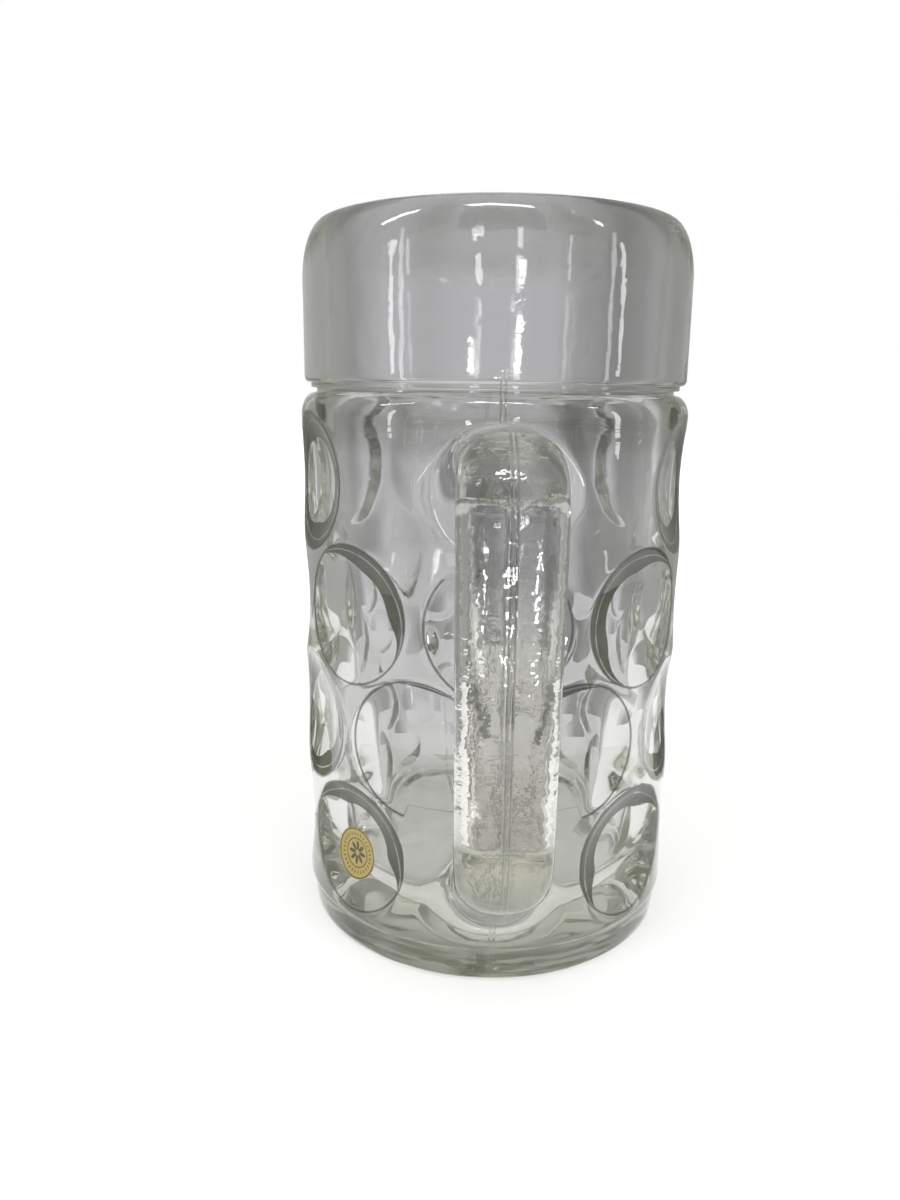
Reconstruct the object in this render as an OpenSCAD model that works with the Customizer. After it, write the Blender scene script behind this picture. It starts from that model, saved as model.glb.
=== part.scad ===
// Dimpled glass beer mug: a pressed-glass vessel, its glass handle and a round foil label.
// The mug stands on its foot at z = 0 with its axis on Z, and the handle points to -Y.
// All sizes are in millimetres.

/* [Body] */
// Height from the foot to the lip
mug_h = 195.5; // [188:0.5:206]
// Outside diameter of the plain drinking band
band_d = 105.5; // [104:0.5:107]
// Height of the drinking band, from the groove to the lip
band_h = 41.5; // [37:0.5:46]
// Outside diameter of the dimpled wall at the shoulder
wall_top_d = 107.5; // [106.5:0.5:109]
// Outside diameter of the dimpled wall just above the heel
wall_low_d = 108; // [106:0.5:109]
// Thickness of the wall at the drinking band
band_wall_t = 7; // [5.75:0.25:8]
// Thickness of the wall at the shoulder, between the dimples
wall_top_t = 8.5; // [7:0.25:10]
// Thickness of the wall just above the heel
wall_low_t = 9.5; // [7:0.25:10.5]
// Radius of the rounded corner inside the bottom
cavity_corner_r = 14; // [8:1:18]
// Thickness of the glass under the cavity
base_t = 14; // [10:0.5:18]

/* [Lip] */
// Height over which the outside of the lip rounds in
lip_round_h = 15; // [8:1:18]
// Radius of the lip's inside edge
lip_inner_r = 1; // [1:0.25:2.5]

/* [Groove and shoulder] */
// Radius of the rounded lower edge of the drinking band
band_edge_r = 1.6; // [1:0.2:2]
// How far the narrow ledge under the band steps in from the band
ledge_step = 1.75; // [1.75:0.25:2.25]
// Height of the ledge
ledge_h = 1.4; // [1:0.2:2.4]
// How deep the groove goes in from the band
groove_depth = 3.25; // [2.75:0.25:3.75]
// Height of the groove's floor
groove_h = 1.2; // [0.8:0.2:3]
// Height over which the shoulder rounds out to the wall
shoulder_h = 6; // [4:0.5:8]

/* [Foot] */
// Outside diameter of the base band at the foot
foot_d = 104.5; // [102:0.5:105.5]
// Radius of the foot's outer edge
foot_edge_r = 2.5; // [1.5:0.5:4]
// Height of the plain base band
heel_h = 10; // [8:0.5:12]
// How far the base band steps in under the wall
heel_step = 0.6; // [0.4:0.1:0.7]
// Width of the flat ring that the mug stands on
foot_ring_w = 5.75; // [2.75:0.5:9.75]
// Rise of the shallow hollow under the base
punt_h = 2.5; // [1:0.5:4]

/* [Dimples] */
// Rows of dimples, each row turned half a step from the next
dimple_rows = 4; // [3:1:4]
// Places for a dimple round each row
dimples_per_row = 8; // [7:1:9]
// Width of a dimple round the wall
dimple_w = 36.5; // [30:0.5:38]
// Height of a dimple along the wall
dimple_h = 36.5; // [30:0.5:38]
// From the heel up to the centres of the bottom row
bottom_row_rise = 21; // [19:0.5:24]
// From the shoulder down to the centres of the top row
top_row_drop = 17; // [15:0.5:20]

/* [Handle] */
// Clear space between the wall and the grip
finger_gap = 32; // [26:1:38]
// Width of the grip at its top
grip_w = 22; // [18:0.5:26]
// Width of the grip at its foot
grip_low_w = 21; // [18:0.5:26]
// Thickness of the grip and the arms
grip_t = 15; // [12:0.5:17]
// Radius of the handle's middle line in its two bends
bend_r = 10.5; // [9:0.5:14]
// From the shoulder down to the middle line of the upper arm
upper_arm_drop = 8; // [7.6:0.2:12]
// From the heel up to where the lower arm's middle line meets the wall
lower_arm_rise = 17.5; // [16:0.5:24]
// Slope of the lower arm, in degrees below level
lower_arm_slope = 34; // [20:1:42]

/* [Handle roots] */
// Width of the flared roots on the wall
root_w = 40; // [32:1:42]
// How far from the wall the roots start to flare
flare_l = 14; // [10:1:18]
// How far the upper root spreads down the wall
upper_root_drop = 17; // [8:1:20]
// How far the lower root spreads down the wall
lower_root_drop = 7; // [3:0.5:8]
// How far the lower root spreads up the wall
lower_root_rise = 4; // [1:0.5:8]

/* [Label] */
// Diameter of the round foil label
label_d = 14.5; // [10:0.5:20]
// Thickness of the foil label
label_t = 0.3; // [0.2:0.05:0.5]
// Distance of the label to the left of its dimple's middle
label_left = 2; // [0:0.5:5]
// Distance of the label below its dimple's middle
label_drop = 4; // [0:0.5:6]

/* [Hidden] */

$fn = 128;
overrun = 2;
glass_colour = [0.78, 0.81, 0.78, 0.45];
handle_colour = [0.72, 0.76, 0.73, 0.6];
foil_colour = [0.79, 0.69, 0.38];

band_r = band_d / 2;
mouth_r = band_r - band_wall_t;
lip_r = mouth_r + lip_inner_r;
ledge_r = band_r - ledge_step;
groove_r = band_r - groove_depth;
wall_top_r = wall_top_d / 2;
wall_low_r = wall_low_d / 2;
cavity_top_r = wall_top_r - wall_top_t;
cavity_low_r = wall_low_r - wall_low_t;
heel_r = wall_low_r - heel_step;
foot_r = foot_d / 2;
foot_ring_r = foot_r - foot_edge_r - foot_ring_w;

band_low_z = mug_h - band_h;
ledge_low_z = band_low_z - ledge_h;
groove_low_z = ledge_low_z - groove_h;
shoulder_z = groove_low_z - shoulder_h;
wall_low_z = heel_h + heel_step;

// Steps along the rounded parts of the outlines
lip_steps = 9;
edge_steps = 4;
corner_steps = 7;

function outside_r(z) =
    wall_low_r + (wall_top_r - wall_low_r) * (z - wall_low_z) / (shoulder_z - wall_low_z);

function round_arc(centre, rx, rz, from, to, steps) =
    [for (i = [0 : steps]) let (a = from + (to - from) * i / steps)
        centre + [rx * cos(a), rz * sin(a)]];

function outside_outline() = concat(
    round_arc([foot_r - foot_edge_r, foot_edge_r], foot_edge_r, foot_edge_r, -90, 0, edge_steps),
    [[heel_r, heel_h]],
    [[wall_low_r, wall_low_z]],
    round_arc([groove_r, shoulder_z], wall_top_r - groove_r, shoulder_h, 0, 90, corner_steps),
    [[groove_r, ledge_low_z]],
    [[ledge_r, ledge_low_z]],
    [[ledge_r, band_low_z]],
    round_arc([band_r - band_edge_r, band_low_z + band_edge_r], band_edge_r, band_edge_r, -90, 0, edge_steps),
    round_arc([lip_r, mug_h - lip_round_h], band_r - lip_r, lip_round_h, 0, 90, lip_steps)
);

function cavity_outline() = concat(
    [[0, base_t]],
    round_arc([cavity_low_r - cavity_corner_r, base_t + cavity_corner_r],
        cavity_corner_r, cavity_corner_r, -90, 0, corner_steps),
    [[cavity_top_r, shoulder_z - shoulder_h]],
    [[mouth_r, groove_low_z]],
    round_arc([lip_r, mug_h - lip_inner_r], lip_inner_r, lip_inner_r, 180, 90, edge_steps),
    [[lip_r, mug_h + overrun]],
    [[0, mug_h + overrun]]
);

// Dimples: each is cut by a level cylinder that lies across the wall, so its floor is flat
// round the mug and hollow along it, and its edge is an oval of the stated width and height.
function dimple_depth(r) = r - sqrt(r * r - dimple_w * dimple_w / 4);
function dimple_r(r) = (dimple_h * dimple_h / 4 + pow(dimple_depth(r), 2)) / (2 * dimple_depth(r));

row_low_z = heel_h + bottom_row_rise;
row_high_z = shoulder_z - top_row_drop;
row_pitch = (row_high_z - row_low_z) / (dimple_rows - 1);
turn_step = 360 / dimples_per_row;
top_row = dimple_rows - 1;

function row_z(row) = row_low_z + row * row_pitch;
function site_turn(row, place) = (place + (row % 2) / 2) * turn_step;
function turn_from_handle(turn) = min(turn, 360 - turn);

// The handle's roots take the places of the dimples that they would meet in the outer rows
function under_root(row, turn) =
    (row == 0 || row == top_row)
    && turn_from_handle(turn) * PI / 180 * outside_r(row_z(row)) < (root_w + dimple_w) / 2;

dimple_sites = [
    for (row = [0 : top_row])
        for (place = [0 : dimples_per_row - 1])
            let (turn = site_turn(row, place))
                if (!under_root(row, turn)) [turn, row_z(row)]
];

// A level cylinder across the wall at a turn from the handle, thinner than the dimple by inset
module dimple_cutter(turn, z, inset = 0) {
    r = outside_r(z);
    rotate([0, 0, turn])
        translate([0, -(r - dimple_depth(r) + dimple_r(r)), z])
            rotate([0, 90, 0])
                cylinder(r = dimple_r(r) - inset, h = dimple_w + overrun, center = true);
}

module outside_form() {
    difference() {
        rotate_extrude()
            polygon(concat([[0, 0]], outside_outline(), [[0, mug_h]]));
        for (site = dimple_sites)
            dimple_cutter(site[0], site[1]);
    }
}

// The hollow under the base is a slice of a sphere that leaves the flat ring to stand on
punt_r = (foot_ring_r * foot_ring_r + punt_h * punt_h) / (2 * punt_h);

module glass_body() {
    color(glass_colour)
        difference() {
            outside_form();
            rotate_extrude()
                polygon(cavity_outline());
            rotate_extrude()
                intersection() {
                    translate([0, punt_h - punt_r])
                        circle(r = punt_r, $fn = 720);
                    square([foot_ring_r + overrun, punt_h + overrun]);
                }
        }
}

// Handle: rings of a rounded section follow a middle line, given as distance from the mug's
// axis and height. The line runs out along the upper arm, down the grip and back along the
// lower arm, and starts and ends inside the wall, where the body's form cuts it off.
upper_z = shoulder_z - upper_arm_drop;
lower_z = heel_h + lower_arm_rise;
upper_wall_r = outside_r(upper_z);
lower_wall_r = outside_r(lower_z);
grip_u = upper_wall_r + finger_gap + grip_t / 2;
root_side_u = sqrt(lower_wall_r * lower_wall_r - root_w * root_w / 4);
root_end_u = root_side_u - grip_t / 2 - overrun;
upper_flare_u = upper_wall_r + flare_l;
lower_flare_u = lower_wall_r + flare_l;

lower_turn = 90 - lower_arm_slope;
bend_u = grip_u - bend_r;
upper_bend_z = upper_z - bend_r;
lower_bend_z = lower_z + (grip_u - lower_wall_r) * tan(lower_arm_slope) + bend_r * tan(lower_turn / 2);

function on_lower_arm(u) = [u, lower_z + (u - lower_wall_r) * tan(lower_arm_slope)];
function line_to(from, to, steps) = [for (i = [0 : steps - 1]) from + (to - from) * i / steps];
function bend_to(centre, from, to, steps) =
    [for (i = [0 : steps - 1]) let (a = from + (to - from) * i / steps)
        centre + bend_r * [cos(a), sin(a)]];

root_steps = 14;
arm_steps = 3;
grip_steps = 8;
bend_steps = 9;

upper_line = concat(
    line_to([root_end_u, upper_z], [upper_flare_u, upper_z], root_steps),
    line_to([upper_flare_u, upper_z], [bend_u, upper_z], arm_steps),
    bend_to([bend_u, upper_bend_z], 90, 0, bend_steps)
);
lower_line = concat(
    line_to([grip_u, upper_bend_z], [grip_u, lower_bend_z], grip_steps),
    bend_to([bend_u, lower_bend_z], 0, -lower_turn, bend_steps),
    line_to([bend_u, lower_bend_z] + bend_r * [cos(lower_turn), -sin(lower_turn)],
        on_lower_arm(lower_flare_u), arm_steps),
    line_to(on_lower_arm(lower_flare_u), on_lower_arm(root_end_u), root_steps),
    [on_lower_arm(root_end_u)]
);
middle_line = concat(upper_line, lower_line);
ring_count = len(middle_line);
upper_count = len(upper_line);

section_points = 36;
// Squareness of the section: 2 is an ellipse, more is nearer to a rectangle
grip_squareness = 2.6;
root_squareness = 2.2;
flare_power = 3;

function unit(v) = v / norm(v);
function signed_power(v, p) = sign(v) * pow(abs(v), p);
function flare(u, wall_u) = pow(max(0, min(1, 1 - (u - wall_u) / flare_l)), flare_power);
function heading(i) =
    unit(middle_line[min(i + 1, ring_count - 1)] - middle_line[max(i - 1, 0)]);
function outward(i) = [-heading(i)[1], heading(i)[0]];
function is_upper(i) = i < upper_count;

// Edges of the handle seen from the side: the outer one and the one round the finger gap
function outer_edge(i) =
    let (p = middle_line[i] + outward(i) * grip_t / 2)
        is_upper(i) ? p : p - [0, lower_root_drop * flare(p[0], lower_wall_r)];
function inner_edge(i) =
    let (p = middle_line[i] - outward(i) * grip_t / 2)
        is_upper(i)
            ? p - [0, upper_root_drop * flare(p[0], upper_wall_r)]
            : p + [0, lower_root_rise * flare(p[0], lower_wall_r)];

function grip_share(i) =
    max(0, min(1, (upper_bend_z - middle_line[i][1]) / (upper_bend_z - lower_bend_z)));
function half_width(i) =
    let (plain = grip_w + (grip_low_w - grip_w) * grip_share(i))
        (plain + (root_w - plain) * flare(middle_line[i][0], root_side_u)) / 2;
function squareness(i) =
    grip_squareness + (root_squareness - grip_squareness) * flare(middle_line[i][0], root_side_u);

function ring(i) =
    let (middle = (outer_edge(i) + inner_edge(i)) / 2)
        let (reach = (outer_edge(i) - inner_edge(i)) / 2)
            [for (j = [0 : section_points - 1])
                let (a = 360 * j / section_points)
                    let (side = half_width(i) * signed_power(cos(a), 2 / squareness(i)))
                        let (p = middle + reach * signed_power(sin(a), 2 / squareness(i)))
                            [side, -p[0], p[1]]];

module handle_sweep() {
    n = section_points;
    points = [for (i = [0 : ring_count - 1]) each ring(i)];
    sides = [
        for (i = [0 : ring_count - 2])
            for (j = [0 : n - 1])
                let (k = (j + 1) % n)
                    each [
                        [i * n + j, (i + 1) * n + j, (i + 1) * n + k],
                        [i * n + j, (i + 1) * n + k, i * n + k]
                    ]
    ];
    first_cap = [for (j = [0 : n - 1]) j];
    last_cap = [for (j = [0 : n - 1]) ring_count * n - 1 - j];
    polyhedron(points = points, faces = concat([first_cap], sides, [last_cap]), convexity = 4);
}

module glass_handle() {
    color(handle_colour)
        difference() {
            handle_sweep();
            outside_form();
        }
}

// Label: a round patch of foil on the floor of the bottom-row dimple one place left of the handle
label_turn = 360 - turn_step;
label_z = row_z(0) - label_drop;

module foil_label() {
    color(foil_colour)
        intersection() {
            difference() {
                dimple_cutter(label_turn, row_z(0));
                dimple_cutter(label_turn, row_z(0), label_t);
            }
            rotate([0, 0, label_turn])
                translate([-label_left, -wall_low_r, label_z])
                    rotate([90, 0, 0])
                        cylinder(d = label_d, h = wall_low_r, center = true);
        }
}

glass_body();
glass_handle();
foil_label();
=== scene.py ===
"""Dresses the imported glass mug: one pressed-glass surface for the body and its handle, a round
foil label, and a pale studio with the camera. Laid out as a Blender add-on; run as a script."""

import bpy
import numpy as np
from bpy.props import FloatProperty, FloatVectorProperty, IntProperty, PointerProperty
from mathutils import Matrix


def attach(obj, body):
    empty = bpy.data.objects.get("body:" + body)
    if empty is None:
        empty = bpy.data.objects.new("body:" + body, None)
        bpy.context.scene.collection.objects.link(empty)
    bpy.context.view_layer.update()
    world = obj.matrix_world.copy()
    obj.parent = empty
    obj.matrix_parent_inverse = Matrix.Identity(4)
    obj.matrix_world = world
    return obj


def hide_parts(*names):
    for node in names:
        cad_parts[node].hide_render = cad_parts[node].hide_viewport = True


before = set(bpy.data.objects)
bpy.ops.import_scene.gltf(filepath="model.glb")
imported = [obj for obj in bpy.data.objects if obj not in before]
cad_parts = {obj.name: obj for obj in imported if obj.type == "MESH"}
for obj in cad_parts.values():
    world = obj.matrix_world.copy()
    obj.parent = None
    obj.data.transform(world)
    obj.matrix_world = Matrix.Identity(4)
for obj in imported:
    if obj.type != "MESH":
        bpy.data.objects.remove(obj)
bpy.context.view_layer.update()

bl_info = {
    "name": "Dimpled glass mug",
    "version": (1, 0, 0),
    "blender": (4, 5, 0),
    "location": "3D View > Sidebar > Mug",
    "description": "Builds the pressed-glass mug, its foil label and the studio round it",
    "category": "Add Mesh",
}

TAU = 2 * np.pi
MM = 0.001

# The body's grid: points round the mug, and each handle root's window in it, in rows and columns
COLUMNS = 256
WINDOW_ROWS = 40
WINDOW_HALF = 18
PATCH_RINGS = 8


def length(name, description, default):
    """A length in metres that a user may change."""
    return FloatProperty(
        name=name, description=description, default=default, min=0, precision=5, unit="LENGTH"
    )


def angle(name, description, default):
    """An angle, kept in radians and shown in degrees."""
    return FloatProperty(name=name, description=description, default=default, subtype="ANGLE")


def count(name, description, default):
    """A number of rows or of places in a row."""
    return IntProperty(name=name, description=description, default=default, min=3)


def share(name, description, default, high=1.0):
    """A plain number from 0 up to a limit."""
    return FloatProperty(name=name, description=description, default=default, min=0, max=high)


def colour(name, description, default):
    """A colour as three linear numbers from 0 to 1."""
    return FloatVectorProperty(
        name=name, description=description, default=default, size=3, min=0, max=1, subtype="COLOR"
    )


class MugBodySizes(bpy.types.PropertyGroup):
    """Sizes of the vessel."""

    height: length("Height", "From the foot to the lip", 0.1955)
    band_diameter: length("Band diameter", "Outside of the plain drinking band", 0.1055)
    band_height: length("Band height", "From the groove to the lip", 0.0415)
    band_wall: length("Band wall", "Thickness of the wall at the band", 0.0070)
    wall_top_diameter: length("Wall top", "Outside of the dimpled wall at the shoulder", 0.10746)
    wall_low_diameter: length("Wall foot", "Outside of the dimpled wall above the heel", 0.1079)
    wall_top_thickness: length("Wall top thickness", "At the shoulder, between dimples", 0.0085)
    wall_low_thickness: length("Wall foot thickness", "Above the heel, between dimples", 0.0095)
    cavity_corner: length("Cavity corner", "Radius inside the bottom", 0.014)
    base_thickness: length("Base thickness", "Glass under the cavity", 0.014)
    lip_round: length("Lip rounding", "Height over which the lip rounds in", 0.015)
    lip_inner: length("Lip inner edge", "Radius of the lip's inside edge", 0.001)
    band_edge: length("Band edge", "Radius of the band's lower edge", 0.0016)
    ledge_step: length("Ledge step", "How far the ledge steps in from the band", 0.00175)
    ledge_height: length("Ledge height", "Height of the narrow ledge", 0.0014)
    groove_depth: length("Groove depth", "How deep the groove goes in from the band", 0.00325)
    groove_height: length("Groove height", "Height of the groove's floor", 0.0012)
    shoulder_height: length("Shoulder height", "Over which the shoulder rounds out", 0.006)
    foot_diameter: length("Foot diameter", "Outside of the base band at the foot", 0.1045)
    foot_edge: length("Foot edge", "Radius of the foot's outer edge", 0.0025)
    heel_height: length("Heel height", "Height of the plain base band", 0.010)
    heel_step: length("Heel step", "How far the base band steps in", 0.0006)
    foot_ring: length("Foot ring", "Width of the ring that the mug stands on", 0.00575)
    punt: length("Punt", "Rise of the hollow under the base", 0.0025)
    dimple_rows: count("Rows", "Rows of dimples", 4)
    dimples_per_row: count("Dimples per row", "Places round each row", 8)
    dimple_width: length("Dimple width", "Round the wall", 0.0365)
    dimple_height: length("Dimple height", "Along the wall", 0.0365)
    # The bank's lean sets where the dimples' rims get their painted shade
    bank_slope: angle("Bank slope", "Lean of a dimple's bank, for its dark rim", 0.56)
    dimple_bow: length("Dimple bow", "How far a dimple hollows past a face that is flat across", 0.0015)
    bottom_row_rise: length("Bottom row", "From the heel to the bottom row", 0.021)
    top_row_drop: length("Top row", "From the shoulder to the top row", 0.017)
    ridge_softness: length("Ridge softness", "Rounding of the ridges between dimples", 0.00028)


class MugHandleSizes(bpy.types.PropertyGroup):
    """Sizes of the handle."""

    finger_gap: length("Finger gap", "Clear space between the wall and the grip", 0.032)
    grip_width: length("Grip width", "At its top", 0.022)
    grip_low_width: length("Grip foot width", "At its foot", 0.021)
    thickness: length("Thickness", "Of the grip and the arms", 0.015)
    bend: length("Bend", "Radius of the middle line in the two bends", 0.0105)
    upper_arm_drop: length("Upper arm", "From the shoulder to the arm's middle line", 0.008)
    lower_arm_rise: length("Lower arm", "From the heel to the arm's middle line", 0.0175)
    lower_arm_slope: angle("Lower arm slope", "Below level", np.radians(34))
    root_width: length("Root width", "Of the flared roots on the wall", 0.040)
    flare: length("Flare", "How far from the wall the roots start to flare", 0.014)
    upper_root_drop: length("Upper root", "How far it spreads down the wall", 0.017)
    lower_root_drop: length("Lower root drop", "How far it spreads down the wall", 0.007)
    lower_root_rise: length("Lower root rise", "How far it spreads up the wall", 0.004)
    grip_squareness: share("Grip squareness", "2 is an ellipse", 2.15, 8)
    root_squareness: share("Root squareness", "2 is an ellipse", 2.05, 8)


class MugLabelSizes(bpy.types.PropertyGroup):
    """The round foil label."""

    diameter: length("Diameter", "Of the foil", 0.0145)
    thickness: length("Thickness", "How far the foil stands on the glass", 0.00015)
    left: length("Left", "From its dimple's middle to the left", 0.002)
    drop: length("Drop", "Below its dimple's middle", 0.004)
    foil: colour("Foil", "Colour of the gold foil", (0.34, 0.268, 0.098))
    ink: colour("Ink", "Colour of the printed lines", (0.035, 0.028, 0.015))


class MugGlassFinish(bpy.types.PropertyGroup):
    """The look of the pressed glass."""

    tint: colour("Tint", "Colour of the glass surface", (0.665, 0.665, 0.68))
    low_tint: colour("Low tint", "The same on the lower wall", (0.69, 0.69, 0.69))
    # Painted shade: a darker tint on the handle's lower arm
    arm_painted_shade: colour("Arm tint", "The same on the handle's lower arm", (0.22, 0.222, 0.2))
    # Painted light: a lighter, warmer tint on the middle of the straight grip
    grip_painted_light: colour("Grip tint", "The same on the straight part of the handle", (0.82, 0.81, 0.775))
    # Painted shade at the shoulder, at the lip and round the lower root
    neck_painted_shade: colour("Neck tint", "The same at the shoulder and the lip", (0.48, 0.48, 0.47))
    # Painted shade: a dark tint in streaks round the foot
    foot_painted_shade: colour("Base tint", "The same round the foot", (0.075, 0.082, 0.052))
    depth_colour: colour("Depth colour", "Colour that thick glass goes to", (0.85, 0.853, 0.812))
    depth: share("Depth", "How fast thick glass takes up colour", 32.0, 1000)
    ripple: share("Ripple", "Height of the pressed ripple", 0.35)
    shoulder_level: length("Shoulder level", "Height of the drawn lines on the shoulder", 0.146)
    seam: share("Seam", "How far the mould seam stands out and shows", 0.7)
    # Painted shade along the mould seam's two lines
    seam_painted_shade: colour("Seam colour", "Colour of the mould seam's lines", (0.2, 0.2, 0.18))
    # Painted shade: the dark crescents on the dimples' rims, up to rim_width wide
    rim_painted_shade: colour("Rim colour", "Of a dimple's steep side, seen aslant", (0.006, 0.0068, 0.0012))
    rim_width: share("Rim width", "Widest part of a dark rim, in mm", 7.0, 20)


class MugStudio(bpy.types.PropertyGroup):
    """Floor, lamps and camera."""

    floor_colour: colour("Floor", "Colour of the floor", (0.9, 0.9, 0.9))
    lamp_power: share("Lamps", "Power of the lamps, as a share of their own", 1.0, 10)
    sky: share("Sky", "Strength of the soft light from all round", 0.7, 4)
    left_card: colour("Left card", "Card behind the mug on the left", (0.5, 0.5, 0.475))
    right_card: colour("Right card", "Card behind the mug on the right", (0.42, 0.42, 0.4))
    front_card: colour("Front cards", "Cards on either side of the camera", (0.36, 0.365, 0.32))
    high_card: colour("High card", "Card high up behind the camera", (0.05, 0.05, 0.045))
    camera_distance: length("Camera distance", "From the mug's axis", 0.2682)
    camera_height: length("Camera height", "Above the floor", 0.1532)
    camera_turn: angle("Camera turn", "Round the mug", -0.0446)
    camera_pitch: angle("Camera pitch", "Below level", 0.2267)
    camera_yaw: angle("Camera yaw", "Off the depth axis", 0.0011)
    camera_roll: angle("Camera roll", "About its own axis", 0.0121)
    lens: FloatProperty(name="Lens", description="Focal length", default=27.755, unit="CAMERA")


# Surfaces worked out with numpy


def unit(v):
    """The same directions with a length of 1."""
    return v / np.linalg.norm(v, axis=-1, keepdims=True)


def half_turned(turn):
    """The same turns, from half a turn one way to half a turn the other."""
    return (turn + np.pi) % TAU - np.pi


def bearing(points):
    """Turn of each point round the axis, from the handle's plane."""
    return np.arctan2(points[..., 0], -points[..., 1])


def eased_path(corners, before, after, steps=25):
    """A path through the corners, each but the first and last cut by an arc that starts `before`
    ahead of it and ends `after` past it. With A and B those two points, P the corner and w the
    cosine of half the turn, a point of the arc is the mean of A, P and B with the weights
    (1-t)^2, 2wt(1-t) and t^2, which is a round or oval arc."""
    p = np.asarray(corners, float)
    mid = p[1:-1]
    back, on = unit(p[:-2] - mid), unit(p[2:] - mid)
    a = mid + back * np.asarray(before)[:, None]
    b = mid + on * np.asarray(after)[:, None]
    w = np.sqrt((1 - (back * on).sum(1)) / 2)[:, None, None]
    t = np.linspace(0, 1, steps)[None, :, None]
    ka, kp, kb = (1 - t) ** 2, 2 * w * t * (1 - t), t**2
    arc = (ka * a[:, None] + kp * mid[:, None] + kb * b[:, None]) / (ka + kp + kb)
    return np.vstack([p[:1], arc.reshape(-1, 2), p[-1:]])


def spread(path, spacing, turn):
    """Points along a path, no further apart than spacing(points) and turning no more than `turn`
    between two: equal steps of the running sum of step/spacing + angle turned/turn."""
    same = 0.0001 * MM
    step = np.diff(path, axis=0)
    path = path[np.r_[True, np.hypot(*step.T) > same]]
    step = np.diff(path, axis=0)
    heading = np.unwrap(np.arctan2(step[:, 1], step[:, 0]))
    turned = np.abs(np.diff(heading))
    turned = (np.r_[turned, 0] + np.r_[0, turned]) / 2
    middle = (path[1:] + path[:-1]) / 2
    total = np.r_[0, np.cumsum(np.hypot(*step.T) / spacing(middle) + turned / turn)]
    at = np.linspace(0, total[-1], int(np.ceil(total[-1])) + 1)
    return np.stack([np.interp(at, total, path[:, 0]), np.interp(at, total, path[:, 1])], 1)


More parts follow.
